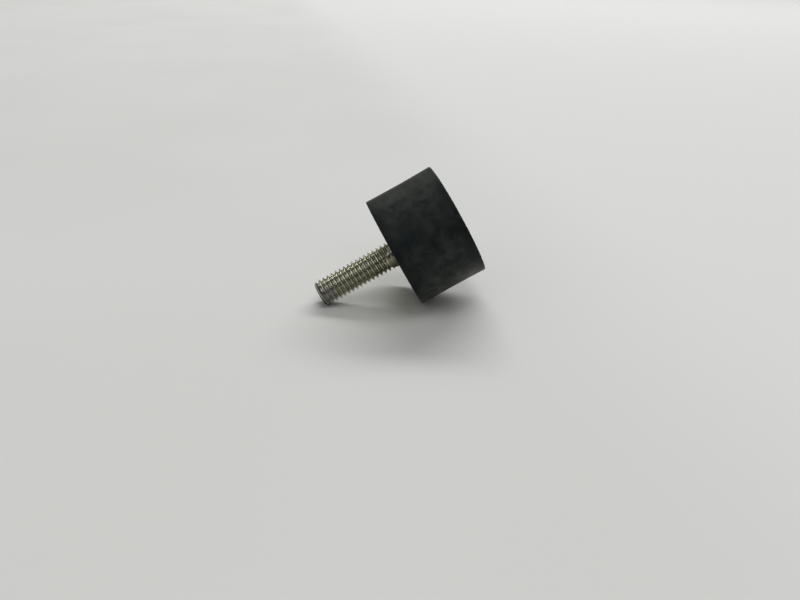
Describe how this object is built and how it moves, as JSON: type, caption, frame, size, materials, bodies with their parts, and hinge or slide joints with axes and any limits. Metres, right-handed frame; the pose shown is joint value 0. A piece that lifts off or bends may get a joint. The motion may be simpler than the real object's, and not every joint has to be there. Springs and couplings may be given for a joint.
{
  "type": "vibration damper",
  "caption": "Cylindrical rubber vibration damper with a threaded steel stud set in a bonded steel disc at one end.",
  "frame": {"origin": "centre of the free rubber face, which is the base that the damper stands on", "axes": "+Z along the axis of the block, towards the tip of the stud"},
  "size_m": [0.0248, 0.0248, 0.0335],
  "materials": {
    "rubber": "matte moulded black rubber with pale handling dust",
    "disc_steel": "zinc plated pressed steel, satin",
    "stud_steel": "zinc plated steel with a faint yellow-olive passivation"
  },
  "bodies": {
    "root": {"rubber_block": "rubber", "steel_disc": "disc_steel", "threaded_stud": "stud_steel"}
  },
  "joints": []
}
